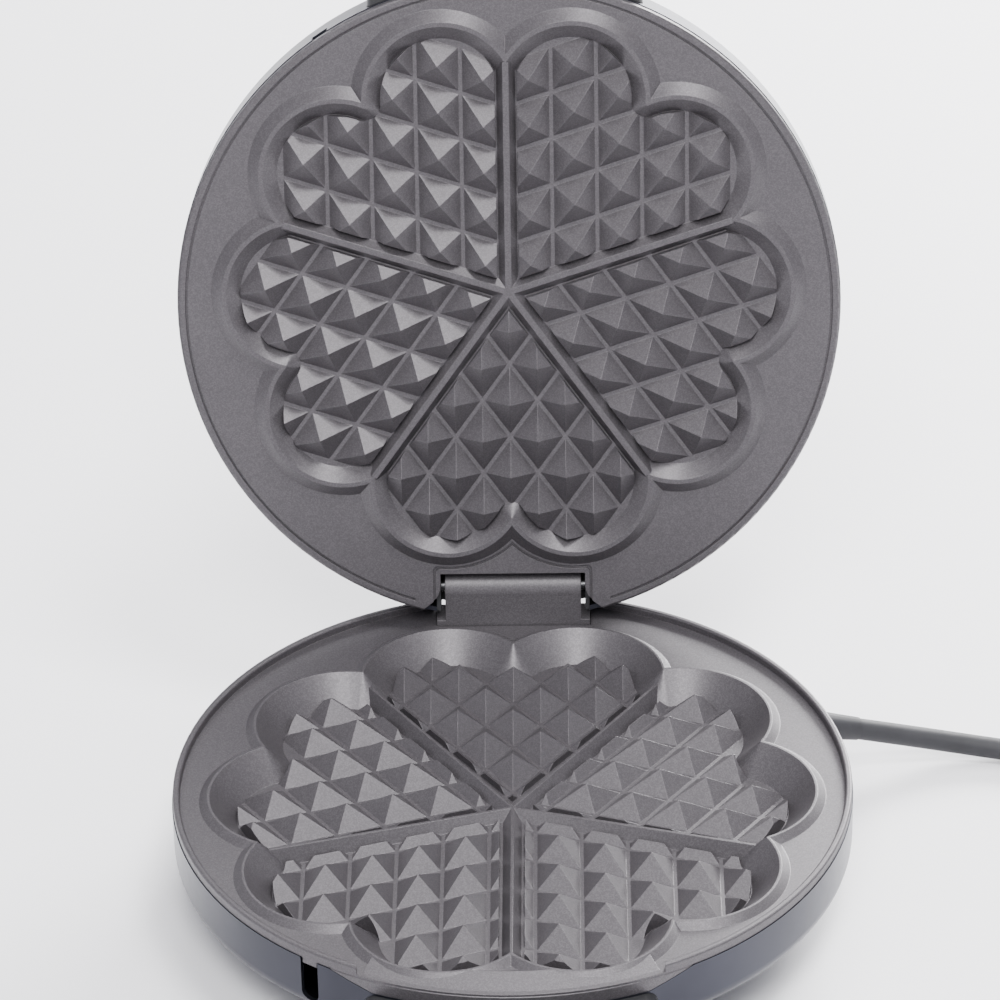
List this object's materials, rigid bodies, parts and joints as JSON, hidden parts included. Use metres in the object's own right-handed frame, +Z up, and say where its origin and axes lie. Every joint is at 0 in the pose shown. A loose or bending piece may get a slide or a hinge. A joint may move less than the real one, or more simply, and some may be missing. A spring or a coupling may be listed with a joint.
{
  "type": "waffle iron",
  "caption": "Round electric waffle iron with heart-shaped moulds on both plates, hinged at the back and standing open, with front handles, a dial and a mains cord.",
  "frame": {"origin": "on the table, under the middle of the iron with its lid open, measured without the cord", "axes": "+Z up, +Y from the handles to the hinge, +X to the side the cord leaves from"},
  "size_m": [0.3942, 0.3522, 0.2984],
  "materials": {
    "shell_metal": "satin silver lacquer",
    "non_stick": "fine grey metallic non-stick coating on cast aluminium",
    "hinge_coating": "fine grey metallic coating",
    "element_steel": "matt, heat-tinted",
    "shield_aluminium": "mill finish",
    "screw_steel": "zinc plated",
    "pin_steel": "ground",
    "bush_brass": "turned",
    "black_plastic": "fine texture",
    "block_plastic": "matt",
    "lead_sleeve": "woven glass sleeve",
    "foot_rubber": "matt",
    "cord_rubber": "matt",
    "lamp_amber": "clear tinted"
  },
  "bodies": {
    "base": {"lower_shell": "shell_metal", "lower_plate": "non_stick", "lower_heater": "element_steel", "lower_heat_shield": "shield_aluminium", "lower_plate_screws": "screw_steel", "lower_handle": "black_plastic", "lower_handle_screws": "screw_steel", "rubber_feet": "foot_rubber", "terminal_block": "block_plastic", "thermal_fuse": "block_plastic", "heater_leads": "lead_sleeve", "mains_lead_inner": "cord_rubber", "hinge_bracket": "hinge_coating", "hinge_pin": "pin_steel", "cord_bush": "cord_rubber", "power_cord": "cord_rubber", "cord_coil": "cord_rubber", "cord_tail": "cord_rubber", "plug_body": "cord_rubber", "plug_pins": "bush_brass"},
    "lid": {"upper_shell": "shell_metal", "upper_plate": "non_stick", "upper_heater": "element_steel", "upper_heat_shield": "shield_aluminium", "upper_plate_screws": "screw_steel", "upper_handle": "black_plastic", "upper_handle_screws": "screw_steel", "lid_hinge_ears": "screw_steel", "hinge_recess": "black_plastic", "hinge_bushes": "bush_brass", "thermostat": "block_plastic", "indicator_lamps": "lamp_amber"},
    "dial": {"temperature_dial": "black_plastic", "dial_spindle": "pin_steel"}
  },
  "joints": [
    {"name": "lid_hinge", "type": "hinge", "parent": "base", "child": "lid", "pos_m": [0, 0.08682, 0.05171], "axis": [1, 0, 0], "range_deg": [0, 105]},
    {"name": "dial_turn", "type": "hinge", "parent": "lid", "child": "dial", "pos_m": [0, 0.15153, 0.18958], "axis": [0, 0.9657, -0.2597], "range_deg": [0, 270]}
  ]
}
